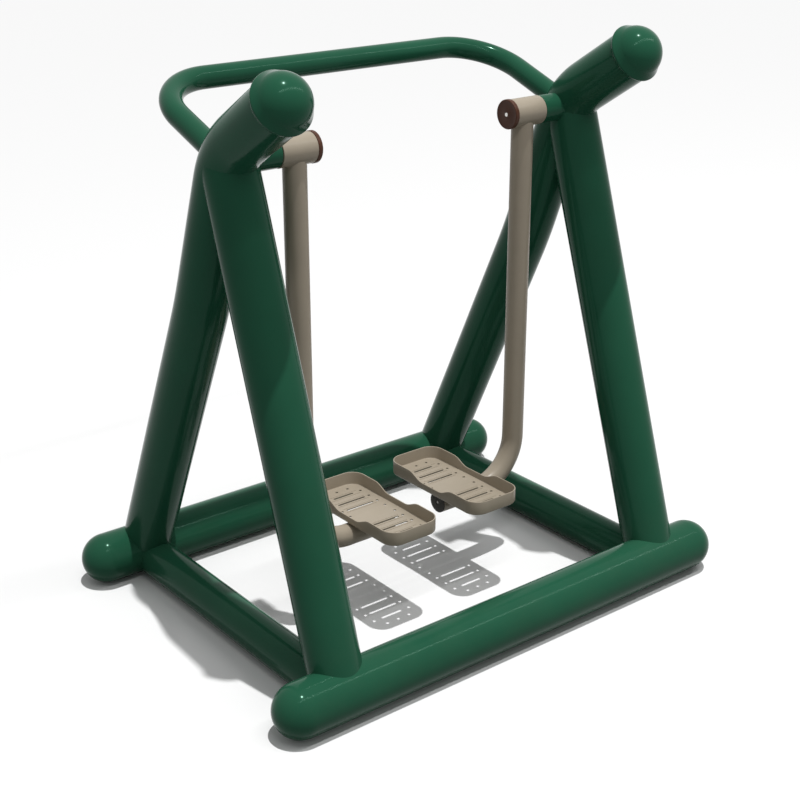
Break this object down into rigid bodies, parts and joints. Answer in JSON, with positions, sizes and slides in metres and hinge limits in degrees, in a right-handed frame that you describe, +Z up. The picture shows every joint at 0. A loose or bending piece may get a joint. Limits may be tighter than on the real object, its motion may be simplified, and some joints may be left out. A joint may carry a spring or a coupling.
{
  "type": "outdoor air walker",
  "caption": "Outdoor air walker: a green tubular stand with a handrail, and two freely hanging arms that carry tray-shaped footplates.",
  "frame": {"origin": "on the ground, at the centre of the base", "axes": "+Z up, +X across the stand, +Y from front to rear, towards the handrail's bar"},
  "size_m": [1.484, 1.1, 1.523],
  "materials": {
    "green_enamel": "glossy dark green powder coat",
    "tan_enamel": "satin warm grey powder coat",
    "brown_plastic": "moulded dark brown cap",
    "bright_plug": "bright round plug",
    "dark_plastic": "dark end cap",
    "zinc_steel": "zinc plated",
    "bearing_steel": "ground bearing steel",
    "dark_steel": "plain bar steel",
    "black_rubber": "moulded rubber"
  },
  "bodies": {
    "stand": {"front_base_tube": "green_enamel", "rear_base_tube": "green_enamel", "left_cross_tube": "green_enamel", "right_cross_tube": "green_enamel", "front_left_base_cap": "green_enamel", "front_right_base_cap": "green_enamel", "rear_left_base_cap": "green_enamel", "rear_right_base_cap": "green_enamel", "left_rear_leg": "green_enamel", "right_rear_leg": "green_enamel", "left_front_leg": "green_enamel", "right_front_leg": "green_enamel", "left_post_cap": "green_enamel", "right_post_cap": "green_enamel", "handrail": "green_enamel", "left_pivot_boss": "green_enamel", "right_pivot_boss": "green_enamel", "ground_anchor_bosses": "dark_steel", "left_axle": "zinc_steel", "right_axle": "zinc_steel", "left_bearing_inner_rings": "bearing_steel", "right_bearing_inner_rings": "bearing_steel", "left_ring_spacer": "zinc_steel", "right_ring_spacer": "zinc_steel", "left_axle_washer": "zinc_steel", "right_axle_washer": "zinc_steel", "left_axle_nut": "zinc_steel", "right_axle_nut": "zinc_steel"},
    "left_arm": {"left_hub": "tan_enamel", "left_bearing_outer_rings": "bearing_steel", "left_bearing_balls": "bearing_steel", "left_hub_seal": "black_rubber", "left_hub_cap": "brown_plastic", "left_cap_plug": "bright_plug", "left_arm_tube": "tan_enamel", "left_arm_end_cap": "dark_plastic", "left_footplate_bracket": "tan_enamel", "left_footplate": "tan_enamel"},
    "right_arm": {"right_hub": "tan_enamel", "right_bearing_outer_rings": "bearing_steel", "right_bearing_balls": "bearing_steel", "right_hub_seal": "black_rubber", "right_hub_cap": "brown_plastic", "right_cap_plug": "bright_plug", "right_arm_tube": "tan_enamel", "right_arm_end_cap": "dark_plastic", "right_footplate_bracket": "tan_enamel", "right_footplate": "tan_enamel"}
  },
  "joints": [
    {"name": "left_arm_swing", "type": "hinge", "parent": "stand", "child": "left_arm", "pos_m": [-0.368, -0.06925, 1.28987], "axis": [1, 0, 0], "range_deg": [-45, 45]},
    {"name": "right_arm_swing", "type": "hinge", "parent": "stand", "child": "right_arm", "pos_m": [0.368, -0.06925, 1.28987], "axis": [1, 0, 0], "range_deg": [-45, 45]}
  ]
}
